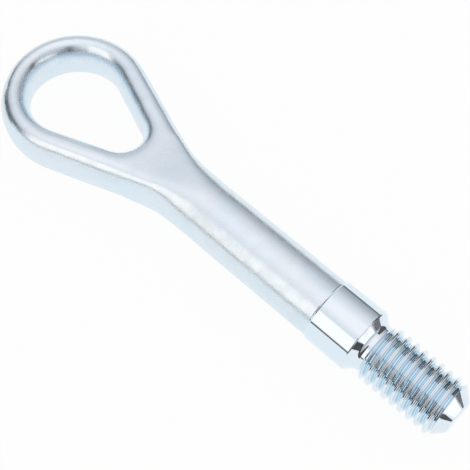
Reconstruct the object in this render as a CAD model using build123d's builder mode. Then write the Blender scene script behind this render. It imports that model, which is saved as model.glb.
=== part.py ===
import os
from math import asin, cos, degrees, radians, sin, sqrt, tan

from build123d import *

os.makedirs("parts", exist_ok=True)

# Tow eye for a car, one forged and turned piece, lying flat with the eye plane level
# X runs along the shank axis to the threaded tip, x = 0 is the front edge of the collar

# Shank and collar
shank_r = 9.4
collar_r = 10.0
collar_len = 13.8
collar_back_bevel = 0.4
collar_front_round = 0.6

# Conical seat and plain neck between the collar and the thread
seat_angle = 45.0
neck_r = 7.6
neck_end_x = 4.0

# Coarse right-hand thread
thread_r = 9.0
thread_pitch = 2.86
thread_root_r = 7.7
thread_root_flat = 0.4
thread_flank_angle = 30.0
thread_entry_angle = 45.0
groove_mid_x = 19.28
groove_mid_angle = 24.0

# Tip of the thread
tip_x = 32.7
tip_r = 5.0
tip_angle = 45.0
tip_round = 1.6

# Eye in plan, a large far arc drawn in along two straight flanks to the shank
eye_outer_r = 23.0
eye_outer_x = -114.35
eye_flank_angle = 20.5
eye_neck_sweep_r = 24.7

# Teardrop hole of the eye, from the width of the bar around it
bar_wide = 9.1
bar_near = 9.8
hole_shift = 0.7
hole_near_x = -95.25

# Oval section of the bar, each side drawn with three tangent arcs: wall, shoulder and crown
eye_thick = 15.0
bar_land = 0.15
wall_angle = 25.5
shoulder_angle = 58.5
shoulder_ratio = 1.163

# Forged blend between the flat web of the eye and the round shank
web_margin = 0.6
blend_end_x = -60.0
blend_stations = 6
blend_split = 2.0
shank_start_x = blend_end_x + 1.5

# Directions of the outer flanks and of the hole flanks, and the sizes of the hole
flank_s = sin(radians(eye_flank_angle))
flank_c = cos(radians(eye_flank_angle))
hole_far_r = eye_outer_r - bar_wide
hole_far_x = eye_outer_x - hole_shift
hole_near_r = eye_outer_r - flank_s * (hole_near_x - eye_outer_x) - bar_near
hole_s = (hole_far_r - hole_near_r) / (hole_near_x - hole_far_x)
hole_c = cos(asin(hole_s))
hole_angle = degrees(asin(hole_s))

# Radii of the three arcs, so that a side fills half the bar and half the thickness
wall_s = sin(radians(wall_angle))
wall_c = cos(radians(wall_angle))
shoulder_s = sin(radians(shoulder_angle))
shoulder_c = cos(radians(shoulder_angle))
bar_half = (bar_wide - hole_shift - bar_land) / 2
eye_half = eye_thick / 2
shoulder_r = shoulder_ratio * bar_half
rise = eye_half - shoulder_r * (shoulder_s - wall_s)
reach = bar_half - shoulder_r * (wall_c - shoulder_c)
spread = wall_s * shoulder_c - (1 - shoulder_s) * (1 - wall_c)
wall_r = (rise * shoulder_c - reach * (1 - shoulder_s)) / spread
crown_r = (reach * wall_s - rise * (1 - wall_c)) / spread

# Plan curve of the outside past the far arc: straight flank, then a concave sweep into the shank
sweep_y = shank_r + eye_neck_sweep_r
sweep_x = eye_outer_x + (eye_outer_r + eye_neck_sweep_r - flank_c * sweep_y) / flank_s
sweep_start_x = sweep_x - eye_neck_sweep_r * flank_s
web_x = hole_near_x + hole_near_r + bar_half + web_margin


def half_width(x):
    if x >= sweep_x:
        return shank_r
    if x >= sweep_start_x:
        return sweep_y - sqrt(eye_neck_sweep_r**2 - (x - sweep_x) ** 2)
    return (eye_outer_r - flank_s * (x - eye_outer_x)) / flank_c


def between(a, b, u):
    return a + (b - a) * u * u * (3 - 2 * u)


# Five arcs of a rounded side from bottom to top: inset and height of the centre, radius, start, size
def side_arcs(wall, shoulder, crown):
    inset = wall - (wall - shoulder) * wall_c
    height = (wall - shoulder) * wall_s
    crown_inset = inset - (shoulder - crown) * shoulder_c
    crown_height = height + (shoulder - crown) * shoulder_s
    turn = shoulder_angle - wall_angle
    last = 90 - shoulder_angle
    return [
        (crown_inset, -crown_height, crown, -90, last),
        (inset, -height, shoulder, -shoulder_angle, turn),
        (wall, 0, wall, -wall_angle, 2 * wall_angle),
        (inset, height, shoulder, wall_angle, turn),
        (crown_inset, crown_height, crown, shoulder_angle, last),
    ]


# Half section of the outside, from the axis of the far arc to the rounded outer wall
def outer_half(plane, edge):
    with BuildSketch(plane) as one:
        with BuildLine():
            for inset, height, r, start, size in side_arcs(wall_r, shoulder_r, crown_r):
                CenterArc((edge - inset, height), r, start, size)
            Line((edge - bar_half, eye_half), (0, eye_half))
            Line((0, eye_half), (0, -eye_half))
            Line((0, -eye_half), (edge - bar_half, -eye_half))
        make_face()
    return one.sketch


# Half section of the hole, flaring to the top and bottom like the bar around it
def hole_half(plane, edge):
    top = eye_half + bar_half
    with BuildSketch(plane) as one:
        with BuildLine():
            for inset, height, r, start, size in side_arcs(wall_r, shoulder_r, crown_r):
                CenterArc((edge + inset, height), r, 180 - start, -size)
            Polyline(
                (edge + bar_half, eye_half),
                (edge + bar_half, top),
                (0, top),
                (0, -top),
                (edge + bar_half, -top),
                (edge + bar_half, -eye_half),
            )
        make_face()
    return one.sketch


# Slice of the round shank, split at the same angles as the sides of the bar
def shank_slice(x):
    splits = [blend_split - 90, -shoulder_angle, -wall_angle, wall_angle, shoulder_angle]
    splits.append(90 - blend_split)
    splits.append(90 + blend_split)
    with BuildSketch(Plane(origin=(x, 0, 0), x_dir=(0, 1, 0), z_dir=(1, 0, 0))) as one:
        with BuildLine():
            for half in (0, 180):
                for start, end in zip(splits, splits[1:]):
                    EllipticalCenterArc((0, 0), shank_r, shank_r, start + half, arc_size=end - start)
        make_face()
    return one.sketch.faces()[0]


# Slice of the blend: the bar's rounded sides grow into the round shank as the flat lands close
def blend_slice(x):
    u = (x - web_x) / (blend_end_x - web_x)
    w = half_width(x)
    h = between(eye_half, shank_r, u)
    land = between(half_width(web_x) - bar_half / flank_c, shank_r * sin(radians(blend_split)), u)
    lean = (w - land) / between(bar_half, shank_r, u)
    radii = [between(r, shank_r, u) for r in (wall_r, shoulder_r, crown_r)]
    with BuildSketch(Plane(origin=(x, 0, 0), x_dir=(0, 1, 0), z_dir=(1, 0, 0))) as one:
        with BuildLine():
            for way in (1, -1):
                for inset, height, r, start, size in side_arcs(*radii):
                    middle = (way * (w - lean * inset), way * height)
                    EllipticalCenterArc(middle, lean * r, r, start + 90 - 90 * way, arc_size=size)
                Line((way * land, way * h), (-way * land, way * h))
        make_face()
    return one.sketch.faces()[0]


slices = []
for i in range(blend_stations):
    slices.append(blend_slice(web_x + (blend_end_x - web_x) * i / blend_stations))
slices.append(shank_slice(blend_end_x))
slices.append(shank_slice(shank_start_x))

# Eye and blend: one half of the eye cut from its arcs and flanks, mirrored, then drawn out to the shank
far_plane = Plane(
    origin=(eye_outer_x, 0, 0), x_dir=(flank_s, flank_c, 0), z_dir=(flank_c, -flank_s, 0)
)
hole_far_plane = Plane(
    origin=(hole_far_x, 0, 0), x_dir=(hole_s, hole_c, 0), z_dir=(hole_c, -hole_s, 0)
)
hole_near_plane = Plane(
    origin=(hole_near_x, 0, 0), x_dir=(hole_s, hole_c, 0), z_dir=(hole_c, -hole_s, 0)
)
far_half = outer_half(far_plane, eye_outer_r)
hole_far_half = hole_half(hole_far_plane, hole_far_r)
hole_near_half = hole_half(hole_near_plane, hole_near_r)
flank_len = (web_x - eye_outer_x) / flank_c + bar_half
hole_len = (hole_near_x - hole_far_x) * hole_c

with BuildPart() as forged:
    revolve(far_half, Axis((eye_outer_x, 0, 0), (0, 0, 1)), revolution_arc=90 + eye_flank_angle)
    extrude(far_half, amount=flank_len)
    revolve(
        hole_far_half,
        Axis((hole_far_x, 0, 0), (0, 0, 1)),
        revolution_arc=90 + hole_angle,
        mode=Mode.SUBTRACT,
    )
    extrude(hole_far_half, amount=hole_len, mode=Mode.SUBTRACT)
    revolve(
        hole_near_half,
        Axis((hole_near_x, 0, 0), (0, 0, -1)),
        revolution_arc=90 - hole_angle,
        mode=Mode.SUBTRACT,
    )
    split(bisect_by=Plane.XZ, keep=Keep.BOTTOM)
    mirror(about=Plane.XZ)
    split(bisect_by=Plane.YZ.offset(web_x), keep=Keep.BOTTOM)
    loft(slices)

# Turned end up to the middle of the neck: shank, collar and conical seat
seat_len = (collar_r - neck_r) / tan(radians(seat_angle))
neck_mid_x = (seat_len + neck_end_x) / 2

with BuildPart() as turned:
    with BuildSketch(Plane.XZ) as turned_half:
        with BuildLine():
            Polyline(
                (shank_start_x, 0),
                (shank_start_x, shank_r),
                (-collar_len, shank_r),
                (-collar_len, collar_r - collar_back_bevel),
                (-collar_len + collar_back_bevel, collar_r),
                (0, collar_r),
                (seat_len, neck_r),
                (neck_mid_x, neck_r),
                (neck_mid_x, 0),
                (shank_start_x, 0),
            )
        make_face()
        rim = turned_half.vertices().sort_by_distance((0, collar_r))[0]
        fillet(rim, radius=collar_front_round)
    revolve(axis=Axis.X)

# Outline of the thread from the middle of the neck to the bevelled tip
entry_len = (thread_r - neck_r) / tan(radians(thread_entry_angle))
tip_len = (thread_r - tip_r) / tan(radians(tip_angle))

with BuildPart() as blank:
    with BuildSketch(Plane.XZ) as blank_half:
        with BuildLine():
            Polyline(
                (neck_mid_x, 0),
                (neck_mid_x, neck_r),
                (neck_end_x, neck_r),
                (neck_end_x + entry_len, thread_r),
                (tip_x - tip_len, thread_r),
                (tip_x, tip_r),
                (tip_x, 0),
                (neck_mid_x, 0),
            )
        make_face()
        nose = blank_half.vertices().sort_by_distance((tip_x, tip_r))[0]
        fillet(nose, radius=tip_round)
    revolve(axis=Axis.X)

# Helical groove, from the free space over the neck to past the tip
groove_depth = thread_r + 0.5 - thread_root_r
groove_half = thread_root_flat / 2 + groove_depth * tan(radians(thread_flank_angle))
groove_dir = radians(groove_mid_angle + 360 * (neck_mid_x - groove_mid_x) / thread_pitch)
groove_len = tip_x - neck_mid_x + thread_pitch

with BuildPart() as groove:
    with BuildLine() as groove_path:
        Helix(pitch=thread_pitch, height=groove_len, radius=thread_root_r)
    with BuildSketch(Plane.XZ):
        with BuildLine():
            Polyline(
                (thread_root_r, -thread_root_flat / 2),
                (thread_root_r + groove_depth, -groove_half),
                (thread_root_r + groove_depth, groove_half),
                (thread_root_r, thread_root_flat / 2),
                (thread_root_r, -thread_root_flat / 2),
            )
        make_face()
    sweep(path=groove_path.line, is_frenet=True)

groove_plane = Plane(
    origin=(neck_mid_x, 0, 0), x_dir=(0, cos(groove_dir), sin(groove_dir)), z_dir=(1, 0, 0)
)

# Threaded end: a longer grooved bar trimmed to the outline
with BuildPart() as thread:
    with BuildSketch(Plane(origin=(neck_mid_x - 3 * thread_pitch, 0, 0), z_dir=(1, 0, 0))):
        Circle(thread_r)
    extrude(amount=groove_len + 6 * thread_pitch)
    add(groove.part.moved(groove_plane.location), mode=Mode.SUBTRACT)
    add(blank.part, mode=Mode.INTERSECT)

# Whole tow eye in one piece
with BuildPart() as tow_eye:
    add(turned.part)
    add(thread.part)
    add(forged.part)
tow_eye.part.label = "tow_eye"
export_step(tow_eye.part, "parts/tow_eye.step")
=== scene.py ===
import math

import bpy
from mathutils import Matrix, Vector


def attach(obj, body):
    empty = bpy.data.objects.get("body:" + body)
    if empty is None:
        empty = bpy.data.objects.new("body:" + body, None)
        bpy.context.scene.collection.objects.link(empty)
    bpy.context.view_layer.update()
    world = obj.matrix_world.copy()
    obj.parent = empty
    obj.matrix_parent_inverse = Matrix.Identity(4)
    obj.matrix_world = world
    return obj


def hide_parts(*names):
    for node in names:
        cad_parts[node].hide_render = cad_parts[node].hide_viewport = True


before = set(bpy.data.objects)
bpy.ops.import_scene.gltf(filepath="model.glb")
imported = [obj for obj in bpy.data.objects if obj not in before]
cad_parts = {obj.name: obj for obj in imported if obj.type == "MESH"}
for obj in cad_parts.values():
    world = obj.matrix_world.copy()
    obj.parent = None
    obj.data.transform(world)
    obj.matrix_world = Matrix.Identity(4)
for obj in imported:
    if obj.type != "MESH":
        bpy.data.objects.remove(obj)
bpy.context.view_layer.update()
scene = bpy.context.scene

# lengths are in metres and angles in degrees; X runs along the bar towards the tip
barSegments = 160  # round the turned shapes
cutTolerance = 0.0000001  # of every plane cut


def put(nt, socket, value):
    # a socket is joined, anything else is typed in
    if isinstance(value, bpy.types.NodeSocket):
        nt.links.new(value, socket)
    else:
        socket.default_value = value


def calc(nt, operation, *values):
    node = nt.nodes.new("ShaderNodeMath")
    node.operation = operation
    for socket, value in zip(node.inputs, values):
        put(nt, socket, value)
    return node.outputs[0]


def step(nt, value, start, end, low=0.0, high=1.0):
    # soft step from low to high
    node = nt.nodes.new("ShaderNodeMapRange")
    node.interpolation_type = "SMOOTHSTEP"
    put(nt, node.inputs["Value"], value)
    put(nt, node.inputs["From Min"], start)
    put(nt, node.inputs["From Max"], end)
    put(nt, node.inputs["To Min"], low)
    put(nt, node.inputs["To Max"], high)
    return node.outputs["Result"]


def blendColour(nt, share, a, b):
    # inputs 6 and 7 and output 2 are the colours of a Mix node
    node = nt.nodes.new("ShaderNodeMix")
    node.data_type = "RGBA"
    put(nt, node.inputs[0], share)
    put(nt, node.inputs[6], a)
    put(nt, node.inputs[7], b)
    return node.outputs[2]


def noise(nt, vector, pattern):
    node = nt.nodes.new("ShaderNodeTexNoise")
    put(nt, node.inputs["Vector"], vector)
    put(nt, node.inputs["Scale"], 1 / pattern["size"])
    put(nt, node.inputs["Detail"], pattern["detail"])
    return node.outputs["Fac"]


def relief(nt, vector, pattern):
    # height of a pattern that stands out of the surface
    return calc(nt, "MULTIPLY", noise(nt, vector, pattern), pattern["deep"])


def deselect():
    if bpy.context.mode != "OBJECT":
        bpy.ops.object.mode_set(mode="OBJECT")
    bpy.ops.object.select_all(action="DESELECT")


def useModifier(obj, kind, **settings):
    bpy.context.view_layer.objects.active = obj
    mod = obj.modifiers.new(kind.lower(), kind)
    for name, value in settings.items():
        setattr(mod, name, value)
    bpy.ops.object.modifier_apply(modifier=mod.name)


def ringRun(name, stations):
    # a closed round bar: a circle pulled out ring by ring through (x, radius)
    deselect()
    x, r = stations[0]
    bpy.ops.mesh.primitive_circle_add(
        vertices=barSegments, radius=r, fill_type="NGON", location=(x, 0, 0), rotation=(0, math.pi / 2, 0)
    )
    obj = bpy.context.object
    obj.name = name
    bpy.ops.object.transform_apply(location=True, rotation=True, scale=True)
    bpy.ops.object.mode_set(mode="EDIT")
    bpy.ops.mesh.select_all(action="SELECT")
    for nextX, nextR in stations[1:]:
        bpy.ops.mesh.extrude_region_move(TRANSFORM_OT_translate={"value": (nextX - x, 0, 0)})
        k = nextR / r
        bpy.ops.transform.resize(value=(1, k, k), center_override=(nextX, 0, 0))
        x, r = nextX, nextR
    bpy.ops.mesh.select_all(action="SELECT")
    bpy.ops.mesh.normals_make_consistent(inside=False)
    bpy.ops.object.mode_set(mode="OBJECT")
    return obj


def arcRun(centre, radius, start, end, count):
    # points of a fillet, angles from the radial direction towards the tip
    turns = [math.radians(start + (end - start) * i / count) for i in range(count + 1)]
    return [(centre[0] + radius * math.sin(t), centre[1] + radius * math.cos(t)) for t in turns]


# forged loop and shank: the CAD shape with the even skin of a forging
forgingSet = {
    "merge": 0.000005,
    "cutX": -0.0150,  # the shank is cut here
    "reach": 0.004,  # and pulled on into the collar
    "voxel": 0.0005,
    "smoothing": 0.5,
    "evenRounds": 8,
    "webRounds": 60,  # more smoothing where the loop runs into the shank
    "webFromX": -0.096,
    "webToX": -0.050,
    "webFade": 0.008,
}
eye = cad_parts["tow_eye"]
forging = bpy.data.objects.new("forging", eye.data.copy())
scene.collection.objects.link(forging)
deselect()
forging.select_set(True)
bpy.context.view_layer.objects.active = forging
bpy.ops.object.mode_set(mode="EDIT")
bpy.ops.mesh.select_all(action="SELECT")
bpy.ops.mesh.remove_doubles(threshold=forgingSet["merge"])
bpy.ops.mesh.bisect(
    plane_co=(forgingSet["cutX"], 0, 0), plane_no=(1, 0, 0), clear_outer=True, threshold=cutTolerance
)
bpy.ops.mesh.select_all(action="DESELECT")
bpy.ops.mesh.select_mode(type="EDGE")
bpy.ops.mesh.select_non_manifold()
bpy.ops.mesh.extrude_region_move(TRANSFORM_OT_translate={"value": (forgingSet["reach"], 0, 0)})
bpy.ops.mesh.edge_face_add()
bpy.ops.object.mode_set(mode="OBJECT")
useModifier(forging, "REMESH", mode="VOXEL", voxel_size=forgingSet["voxel"])
useModifier(forging, "SMOOTH", factor=forgingSet["smoothing"], iterations=forgingSet["evenRounds"])
web = forging.vertex_groups.new(name="web")
for v in forging.data.vertices:
    inside = min(v.co.x - forgingSet["webFromX"], forgingSet["webToX"] - v.co.x)
    if inside > 0:
        web.add([v.index], min(inside / forgingSet["webFade"], 1.0), "REPLACE")
useModifier(
    forging, "SMOOTH", factor=forgingSet["smoothing"], iterations=forgingSet["webRounds"],
    vertex_group=web.name,
)
print("forging", len(forging.data.polygons))

# turned collar, conical seat and neck
collarSet = {
    "rear": -0.0138,
    "r": 0.00998,
    "rearBevel": 0.0004,
    "frontRound": 0.0006,
    "frontSteps": 6,
    "seatAngle": 45,
    "neckR": 0.0076,
    "neckRound": 0.002,
    "neckSteps": 10,
    "end": 0.0046,
}
seatAngle = collarSet["seatAngle"]
halfSeat = math.tan(math.radians(seatAngle / 2))
seatEnd = (collarSet["r"] - collarSet["neckR"]) / math.tan(math.radians(seatAngle))
# centres of the two rounds, as (x, radius)
front = (-collarSet["frontRound"] * halfSeat, collarSet["r"] - collarSet["frontRound"])
hollow = (seatEnd + collarSet["neckRound"] * halfSeat, collarSet["neckR"] + collarSet["neckRound"])
stations = [(collarSet["rear"], collarSet["r"] - collarSet["rearBevel"])]
stations.append((collarSet["rear"] + collarSet["rearBevel"], collarSet["r"]))
stations += arcRun(front, collarSet["frontRound"], 0, seatAngle, collarSet["frontSteps"])
stations += arcRun(hollow, -collarSet["neckRound"], seatAngle, 0, collarSet["neckSteps"])
stations.append((collarSet["end"], collarSet["neckR"]))
collar = ringRun("collar", stations)
print("collar", len(collar.data.polygons))

# rolled thread: one pitch of its outline is drawn point by point,
# the corners are rounded and the pitch is screwed along the bar
threadSet = {
    "pitch": 0.00286,
    "r": 0.009,
    "rootR": 0.00748,
    "rootX": 0.01928,  # a root passes here
    "rootTurn": 24,  # this far round the bar
    "turnsBack": 7,  # from that root to the first pitch
    "turns": 13,
    "steps": 72,
    "round": 0.00007,
    "roundSteps": 3,
    "rise": (  # from the root to the middle of the crest: along, outwards
        (0.00019, 0),
        (0.00036, 0.00076),
        (0.00017, 0.00003),
        (0.00032, 0.00073),
        (0.00019, 0),
        (0.00020, -0.00012),
    ),
    "turnMerge": 0.000001,
    "merge": 0.000002,
    "fromX": 0.0035,  # the screw is cut off flat at both ends
    "toX": 0.0332,
    "trimOver": 0.0003,  # the trim stands clear of the crests
    "entryBack": 0.0002,  # and starts inside the neck
    "entryX": 0.004,
    "entryR": 0.0076,
    "tipX": 0.03269,
    "tipR": 0.005,
    "tipRound": 0.0016,
    "tipAngle": 45,
    "tipSteps": 8,
}
rise = threadSet["rise"]
moves = [*rise, *((dx, -dr) for dx, dr in reversed(rise))]
rootStart = threadSet["rootX"] - threadSet["pitch"] * threadSet["rootTurn"] / 360
firstX = rootStart - threadSet["turnsBack"] * threadSet["pitch"]
deselect()
bpy.ops.mesh.primitive_plane_add()
thread = bpy.context.object
thread.name = "thread"
bpy.ops.object.mode_set(mode="EDIT")
bpy.ops.mesh.select_all(action="SELECT")
bpy.ops.mesh.merge(type="CENTER")  # one point to draw from
bpy.ops.mesh.select_mode(type="VERT")
bpy.ops.mesh.select_all(action="SELECT")
bpy.ops.transform.translate(value=(firstX, threadSet["rootR"], 0))
for dx, dr in moves:
    bpy.ops.mesh.extrude_vertices_move(TRANSFORM_OT_translate={"value": (dx, dr, 0)})
bpy.ops.mesh.select_all(action="DESELECT")
bpy.ops.object.mode_set(mode="OBJECT")
ends = (min(v.co.x for v in thread.data.vertices), max(v.co.x for v in thread.data.vertices))
for v in thread.data.vertices:
    v.select = ends[0] < v.co.x < ends[1]
bpy.ops.object.mode_set(mode="EDIT")
bpy.ops.mesh.bevel(affect="VERTICES", offset=threadSet["round"], segments=threadSet["roundSteps"])
bpy.ops.object.mode_set(mode="OBJECT")
print("pitch drawn", round(ends[1] - ends[0], 7))
useModifier(
    thread, "SCREW", axis="X", angle=2 * math.pi, screw_offset=threadSet["pitch"],
    iterations=threadSet["turns"], steps=threadSet["steps"], render_steps=threadSet["steps"],
    use_merge_vertices=True, merge_threshold=threadSet["turnMerge"],
)
bpy.ops.object.mode_set(mode="EDIT")
bpy.ops.mesh.select_all(action="SELECT")
bpy.ops.mesh.remove_doubles(threshold=threadSet["merge"])
for planeX, side in ((threadSet["fromX"], -1), (threadSet["toX"], 1)):
    bpy.ops.mesh.select_all(action="SELECT")
    bpy.ops.mesh.bisect(
        plane_co=(planeX, 0, 0), plane_no=(side, 0, 0), clear_outer=True, use_fill=True,
        threshold=cutTolerance,
    )
bpy.ops.mesh.select_all(action="SELECT")
bpy.ops.mesh.normals_make_consistent(inside=False)
bpy.ops.object.mode_set(mode="OBJECT")
print("screw", len(thread.data.polygons))

# the thread is trimmed to the bevelled outline of its bar
tipAngle = threadSet["tipAngle"]
trimR = threadSet["r"] + threadSet["trimOver"]
entryLen = trimR - threadSet["entryR"]
tipSlope = (trimR - threadSet["tipR"]) / math.tan(math.radians(tipAngle))
tipCut = threadSet["tipRound"] * math.tan(math.radians((90 - tipAngle) / 2))
nose = (threadSet["tipX"] - threadSet["tipRound"], threadSet["tipR"] - tipCut)
stations = [(threadSet["entryX"] - threadSet["entryBack"], threadSet["entryR"] - threadSet["entryBack"])]
stations.append((threadSet["entryX"] + entryLen, trimR))
stations.append((threadSet["tipX"] - tipSlope, trimR))
stations += arcRun(nose, threadSet["tipRound"], tipAngle, 90, threadSet["tipSteps"])
trim = ringRun("trim", stations)
useModifier(thread, "BOOLEAN", operation="INTERSECT", object=trim, solver="EXACT")
bpy.data.objects.remove(trim)
print("thread", len(thread.data.polygons))

# plated steel: satin on the forging, bright on the turned end
plateLook = {
    "blue": (0.725, 0.845, 0.93, 1.0),
    "grey": (0.755, 0.845, 0.915, 1.0),
    "cloud": {"size": 0.011, "detail": 3.0},
    "cloudEdge": (0.35, 0.65),
    # painted shade: a darker tint for the thread's roots, standing in for the shade in the grooves
    "groove": (0.57, 0.745, 0.855, 1.0),
    "grooveR": (0.0075, 0.0084),
    "grooveFromX": (0.0046, 0.0056),
    "grooveToX": (0.0282, 0.0290),
    "turnedFromX": -0.0139,
    "turnedFade": 0.0003,
    "forgedRough": (0.23, 0.31),
    "turnedRough": (0.03, 0.06),
    "patch": {"size": 0.0025, "detail": 3.0},
    "patchEdge": (0.3, 0.7),
    "wave": {"size": 0.005, "detail": 1.0, "deep": 0.00012},
    "grain": {"size": 0.0004, "detail": 2.0, "deep": 0.00002},
    "lathe": {"size": 0.0003, "detail": 2.0, "deep": 0.0000008},
}


def plateMaterial(look):
    mat = bpy.data.materials.new("zincPlate")
    mat.use_nodes = True
    nt = mat.node_tree
    bsdf = nt.nodes["Principled BSDF"]
    bsdf.inputs["Metallic"].default_value = 1.0
    place = nt.nodes.new("ShaderNodeTexCoord").outputs["Object"]
    split = nt.nodes.new("ShaderNodeSeparateXYZ")
    put(nt, split.inputs[0], place)
    alongX = split.outputs["X"]
    turned = step(nt, alongX, look["turnedFromX"] - look["turnedFade"], look["turnedFromX"])

    # cloudy tint of the plating
    cloud = step(nt, noise(nt, place, look["cloud"]), *look["cloudEdge"])
    tint = blendColour(nt, cloud, look["blue"], look["grey"])
    # painted shade: the tint is darkened down in the thread's roots, where the grooves lie in shade
    across = nt.nodes.new("ShaderNodeCombineXYZ")
    put(nt, across.inputs["Y"], split.outputs["Y"])
    put(nt, across.inputs["Z"], split.outputs["Z"])
    fromAxis = nt.nodes.new("ShaderNodeVectorMath")
    fromAxis.operation = "LENGTH"
    put(nt, fromAxis.inputs[0], across.outputs[0])
    groove = step(nt, fromAxis.outputs["Value"], *look["grooveR"], 1.0, 0.0)
    pastNeck = step(nt, alongX, *look["grooveFromX"])
    beforeTip = step(nt, alongX, *look["grooveToX"], 1.0, 0.0)
    inThread = calc(nt, "MULTIPLY", pastNeck, beforeTip)
    tint = blendColour(nt, calc(nt, "MULTIPLY", groove, inThread), tint, look["groove"])
    put(nt, bsdf.inputs["Base Color"], tint)

    # roughness of the two finishes
    patch = noise(nt, place, look["patch"])
    rough = nt.nodes.new("ShaderNodeMix")
    put(nt, rough.inputs[0], turned)
    put(nt, rough.inputs[2], step(nt, patch, *look["patchEdge"], *look["forgedRough"]))
    put(nt, rough.inputs[3], step(nt, patch, *look["patchEdge"], *look["turnedRough"]))
    put(nt, bsdf.inputs["Roughness"], rough.outputs[0])

    # forged skin: shallow waves and a fine grain; turned end: rings left by the lathe
    forged = calc(nt, "SUBTRACT", 1.0, turned)
    uneven = calc(nt, "ADD", relief(nt, place, look["wave"]), relief(nt, place, look["grain"]))
    skin = calc(nt, "MULTIPLY", uneven, forged)
    along = nt.nodes.new("ShaderNodeCombineXYZ")
    put(nt, along.inputs["X"], alongX)
    rings = calc(nt, "MULTIPLY", relief(nt, along.outputs[0], look["lathe"]), turned)
    bump = nt.nodes.new("ShaderNodeBump")
    bump.inputs["Distance"].default_value = 1.0  # the heights are in metres already
    put(nt, bump.inputs["Height"], calc(nt, "ADD", skin, rings))
    put(nt, bsdf.inputs["Normal"], bump.outputs[0])
    return mat


# one solid bar of metal, so the three shapes are made one skin
joinSet = {"sliver": 0.0000004, "smoothAngle": 38}
deselect()
for obj in (collar, thread):
    useModifier(forging, "BOOLEAN", operation="UNION", object=obj, solver="MANIFOLD")
    print("union", obj.name, len(forging.data.polygons))
    bpy.data.objects.remove(obj)
forging.select_set(True)
towEye = forging
towEye.name = "towEye"
# slivers left along the joins are merged away
bpy.ops.object.mode_set(mode="EDIT")
bpy.ops.mesh.select_all(action="SELECT")
bpy.ops.mesh.remove_doubles(threshold=joinSet["sliver"])
bpy.ops.mesh.dissolve_degenerate(threshold=joinSet["sliver"])
bpy.ops.object.mode_set(mode="OBJECT")
bpy.ops.object.shade_smooth_by_angle(angle=math.radians(joinSet["smoothAngle"]))
towEye.data.materials.clear()
towEye.data.materials.append(plateMaterial(plateLook))
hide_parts("tow_eye")
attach(towEye, "root")
print("tow eye joined", len(towEye.data.polygons))

# white floor just under the collar, which is the lowest point
floorSet = {
    "size": 4.0,
    "z": -0.0101,
    "tone": (0.92, 0.94, 0.96, 1.0),
    "white": 1.0,
    "shadowShare": 0.05,  # how much of the painted floor, with its shadow, shows through the white
}
deselect()
bpy.ops.mesh.primitive_plane_add(size=floorSet["size"], location=(0, 0, floorSet["z"]))
floor = bpy.context.object
floor.name = "studioFloor"
floorMat = bpy.data.materials.new("paleFloor")
floorMat.use_nodes = True
nt = floorMat.node_tree
paint = nt.nodes["Principled BSDF"]
paint.inputs["Base Color"].default_value = floorSet["tone"]
paint.inputs["Roughness"].default_value = 1.0
paint.inputs["Specular IOR Level"].default_value = 0.0
glow = nt.nodes.new("ShaderNodeEmission")
glow.inputs["Strength"].default_value = floorSet["white"]
rays = nt.nodes.new("ShaderNodeLightPath")
seen = calc(nt, "MAXIMUM", rays.outputs["Is Camera Ray"], rays.outputs["Is Glossy Ray"])
seen = calc(nt, "MAXIMUM", seen, rays.outputs["Is Transmission Ray"])
floorMix = nt.nodes.new("ShaderNodeMixShader")
put(nt, floorMix.inputs[0], calc(nt, "MULTIPLY", seen, 1 - floorSet["shadowShare"]))
put(nt, floorMix.inputs[1], paint.outputs[0])
put(nt, floorMix.inputs[2], glow.outputs[0])
put(nt, nt.nodes["Material Output"].inputs["Surface"], floorMix.outputs[0])
floor.data.materials.append(floorMat)
print("floor laid")

# dark flags just outside the picture, each an arc of cloth that shows only in reflections
flagSet = {
    "bottom": -0.010,
    "facets": 180,  # of the full round
    "warmth": 0.96,  # green and blue against red
    "arcs": (  # x of the centre, radius, first and last azimuth, top, grey
        (0.018, 0.12, -62, -14, 0.026, 0.13),
        (0.018, 0.12, 29, 60, 0.026, 0.30),
        (0.018, 0.12, 60, 103, 0.150, 0.13),
        (0.018, 0.12, -97, -62, 0.235, 0.13),
        (-0.112, 0.075, -163, -130, 0.010, 0.13),
        (0.031, 0.068, -24, -14, 0.004, 0.17),
    ),
}


def flagMaterial(grey):
    mat = bpy.data.materials.new("flagCloth")
    mat.use_nodes = True
    cloth = mat.node_tree.nodes["Principled BSDF"]
    cool = grey * flagSet["warmth"]
    cloth.inputs["Base Color"].default_value = (grey, cool, cool, 1)
    cloth.inputs["Roughness"].default_value = 1.0
    cloth.inputs["Specular IOR Level"].default_value = 0.0
    return mat


bottom = flagSet["bottom"]
for number, (x, radius, low, high, top, grey) in enumerate(flagSet["arcs"]):
    deselect()
    bpy.ops.mesh.primitive_cylinder_add(
        vertices=flagSet["facets"], radius=radius, depth=top - bottom, end_fill_type="NOTHING",
        location=(x, 0, (top + bottom) / 2),
    )
    flag = bpy.context.object
    flag.name = f"studioFlag{number}"
    bpy.ops.object.transform_apply(location=True)
    bpy.ops.object.mode_set(mode="EDIT")
    bpy.ops.mesh.select_mode(type="FACE")
    bpy.ops.mesh.select_all(action="DESELECT")
    bpy.ops.object.mode_set(mode="OBJECT")
    for face in flag.data.polygons:
        face.select = not low < math.degrees(math.atan2(face.center.y, face.center.x - x)) < high
    bpy.ops.object.mode_set(mode="EDIT")
    bpy.ops.mesh.delete(type="FACE")
    bpy.ops.object.mode_set(mode="OBJECT")
    flag.data.materials.append(flagMaterial(grey))
    flag.visible_camera = False
    flag.visible_shadow = False
    flag.visible_diffuse = False
print("flags set", len(flagSet["arcs"]))

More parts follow.
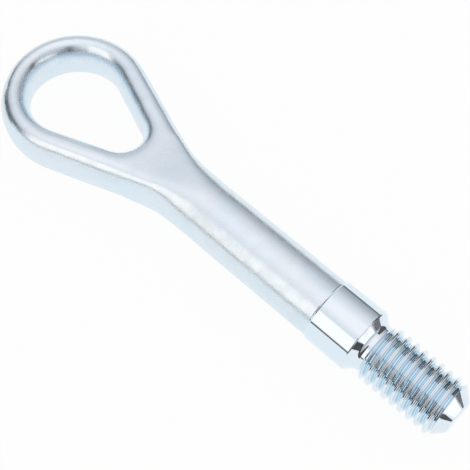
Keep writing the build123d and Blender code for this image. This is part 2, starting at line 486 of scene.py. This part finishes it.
# camera where the photograph was taken from
cameraSet = {
    "place": (0.05571, -0.12658, 0.30549),
    "azimuth": 39.55,
    "elevation": 61.8,
    "roll": 3.59,
    "focalPixels": 1200.38,
    "picturePixels": 470,
    "sensor": 36,  # millimetres, as Blender counts it
    "clip": (0.01, 20),
}
azimuth, elevation, roll = (math.radians(cameraSet[k]) for k in ("azimuth", "elevation", "roll"))
level = math.cos(elevation)
back = Vector((math.sin(azimuth) * level, -math.cos(azimuth) * level, math.sin(elevation)))
right = Vector((math.cos(azimuth), math.sin(azimuth), 0))
up = back.cross(right)
camX = right * math.cos(roll) + up * math.sin(roll)
camY = up * math.cos(roll) - right * math.sin(roll)
camData = bpy.data.cameras.new("productCamera")
camData.lens = cameraSet["focalPixels"] / cameraSet["picturePixels"] * cameraSet["sensor"]
camData.sensor_width = cameraSet["sensor"]
camData.clip_start, camData.clip_end = cameraSet["clip"]
cam = bpy.data.objects.new("productCamera", camData)
scene.collection.objects.link(cam)
turn = Matrix((camX, camY, back)).transposed().to_4x4()
cam.matrix_world = Matrix.Translation(Vector(cameraSet["place"])) @ turn
scene.camera = cam
print("camera set")

# soft tent: a roof that gets paler upwards, a white wall on the near side, a white card past the tip,
# a grey gap and a pale card behind the loop, and a dark seam along the floor
tentSet = {
    "roof": (  # elevation, red, green, blue
        (6, 0.38, 0.38, 0.39),
        (28, 0.61, 0.60, 0.62),
        (45, 0.83, 0.80, 0.81),
        (60, 0.97, 0.93, 0.93),
        (76, 1.14, 1.06, 1.05),
    ),
    "white": (1.31, 1.21, 1.14, 1),
    "seam": (0.15, 0.155, 0.165, 1),
    "gap": (0.20, 0.205, 0.21, 1),
    "rear": (0.72, 0.72, 0.73, 1),
    "wall": {"azimuth": -95, "half": 23, "soft": 5, "top": 50, "topSoft": 4},
    "card": {"azimuth": 8, "half": 20, "soft": 4, "top": 17, "topSoft": 4},
    "leftGap": {"azimuth": -158, "half": 38, "soft": 6, "top": 25, "topSoft": 8},
    "rearCard": {"azimuth": 143, "half": 22, "soft": 6, "top": 30, "topSoft": 8},
    "seamTop": 6,
    "seamSoft": 3,
}
zenith = 90
halfTurn = 180
world = bpy.data.worlds.new("softTent")
scene.world = world
world.use_nodes = True
nt = world.node_tree
sky = nt.nodes["Background"]
toward = nt.nodes.new("ShaderNodeSeparateXYZ")
put(nt, toward.inputs[0], nt.nodes.new("ShaderNodeTexCoord").outputs["Generated"])
degree = halfTurn / math.pi
height = calc(nt, "MULTIPLY", calc(nt, "ARCSINE", toward.outputs["Z"]), degree)
bearing = calc(nt, "MULTIPLY", calc(nt, "ARCTAN2", toward.outputs["Y"], toward.outputs["X"]), degree)


def below(top, soft):
    # one under the given height, fading out round it
    return step(nt, height, top - soft, top + soft, 1.0, 0.0)


def panel(spot):
    # one inside the panel, fading out at its sides and top
    off = calc(nt, "SUBTRACT", bearing, spot["azimuth"])
    off = calc(nt, "ABSOLUTE", calc(nt, "WRAP", off, halfTurn, -halfTurn))
    across = step(nt, off, spot["half"] - spot["soft"], spot["half"] + spot["soft"], 1.0, 0.0)
    return calc(nt, "MULTIPLY", across, below(spot["top"], spot["topSoft"]))


roof = nt.nodes.new("ShaderNodeValToRGB")
put(nt, roof.inputs[0], calc(nt, "DIVIDE", height, zenith))
stops = roof.color_ramp.elements
while len(stops) < len(tentSet["roof"]):
    stops.new(0.5)  # anywhere, it is placed below
for stop, (at, *colour) in zip(stops, tentSet["roof"]):
    stop.position = at / zenith
    stop.color = (*colour, 1)
tone = blendColour(nt, panel(tentSet["leftGap"]), roof.outputs[0], tentSet["gap"])
tone = blendColour(nt, panel(tentSet["wall"]), tone, tentSet["white"])
tone = blendColour(nt, below(tentSet["seamTop"], tentSet["seamSoft"]), tone, tentSet["seam"])
tone = blendColour(nt, panel(tentSet["rearCard"]), tone, tentSet["rear"])
tone = blendColour(nt, panel(tentSet["card"]), tone, tentSet["white"])
put(nt, sky.inputs["Color"], tone)
scene.view_settings.view_transform = "Standard"
print("tent lit")
